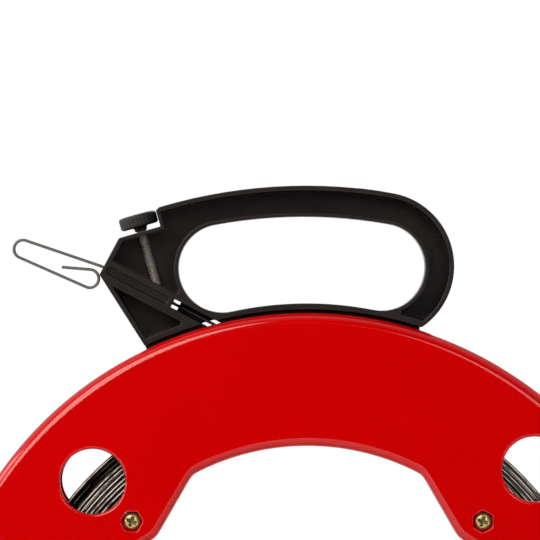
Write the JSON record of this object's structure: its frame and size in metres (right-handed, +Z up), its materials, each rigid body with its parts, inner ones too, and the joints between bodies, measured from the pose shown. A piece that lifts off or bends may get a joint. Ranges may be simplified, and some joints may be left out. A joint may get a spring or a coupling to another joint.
{
  "type": "fish tape reel",
  "caption": "Hand-held fish tape reel: flat steel tape wound in a round two-shell case that turns on a ring under a looped handle with a nose guide and a clamp screw.",
  "frame": {"origin": "centre of the reel, on its axis and midway between the two shells", "axes": "+Y along the reel axis towards the back shell, +Z up through the handle, +X away from the nose"},
  "size_m": [0.3, 0.036, 0.3509],
  "materials": {
    "shell_red": "glossy moulded",
    "handle_black": "satin moulded",
    "ring_black": "satin moulded",
    "knob_black": "fine textured",
    "clamp_steel": "dark phosphated thread",
    "pad_steel": "turned",
    "tape_steel": "rolled spring steel",
    "screw_zinc": "yellow zinc plated"
  },
  "bodies": {
    "handle": {"handle_frame": "handle_black", "guide_ring": "ring_black"},
    "reel": {"front_shell": "shell_red", "back_shell": "shell_red", "shell_screw_1": "screw_zinc", "shell_screw_2": "screw_zinc", "shell_screw_3": "screw_zinc", "shell_screw_4": "screw_zinc", "shell_nut_1": "screw_zinc", "shell_nut_2": "screw_zinc", "shell_nut_3": "screw_zinc", "shell_nut_4": "screw_zinc", "tape_coil_front": "tape_steel", "tape_coil_middle": "tape_steel", "tape_coil_back": "tape_steel", "tape_anchor": "pad_steel"},
    "tape": {"tape_lead": "tape_steel"},
    "pad": {"clamp_pad": "pad_steel"},
    "clamp": {"clamp_knob": "knob_black", "clamp_screw": "clamp_steel"}
  },
  "joints": [
    {"name": "reel_spin", "type": "hinge", "parent": "handle", "child": "reel", "pos_m": [0, 0, 0], "axis": [0, 1, 0], "continuous": true},
    {"name": "tape_pull", "type": "slide", "parent": "handle", "child": "tape", "axis": [-0.8878, 0, 0.4603], "range_m": [0, 0.06]},
    {"name": "clamp_lift", "type": "slide", "parent": "handle", "child": "pad", "axis": [-0.2723, 0, 0.9622], "range_m": [0, 0.0014]},
    {"name": "clamp_turn", "type": "hinge", "parent": "pad", "child": "clamp", "pos_m": [-0.0664, 0, 0.18242], "axis": [-0.2723, 0, 0.9622], "range_deg": [0, 720.1]}
  ],
  "couplings": [
    {"joint": "clamp_turn", "follows": "clamp_lift", "rad_per_m": 8976}
  ]
}
